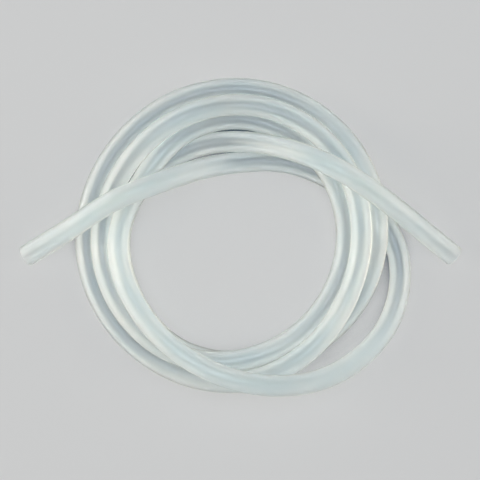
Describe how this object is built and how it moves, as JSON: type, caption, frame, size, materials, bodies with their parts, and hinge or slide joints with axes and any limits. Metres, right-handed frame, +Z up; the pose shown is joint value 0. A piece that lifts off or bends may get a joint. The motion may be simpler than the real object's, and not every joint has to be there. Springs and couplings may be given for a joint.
{
  "type": "silicone tubing coil",
  "caption": "Length of soft translucent silicone tubing wound by hand into a loose flat coil, its two free ends lying out to the left and right; hollow from tip to tip.",
  "frame": {"origin": "the coil's axis where it meets the floor, which is the middle of the coil's footprint", "axes": "+X towards the right free end, +Y across the floor towards the top of the coil as seen from above, +Z up out of the floor"},
  "size_m": [0.1667, 0.1196, 0.0317],
  "materials": {
    "silicone": "smooth, milky translucent"
  },
  "bodies": {
    "root": {"tubing": "silicone"}
  },
  "joints": []
}
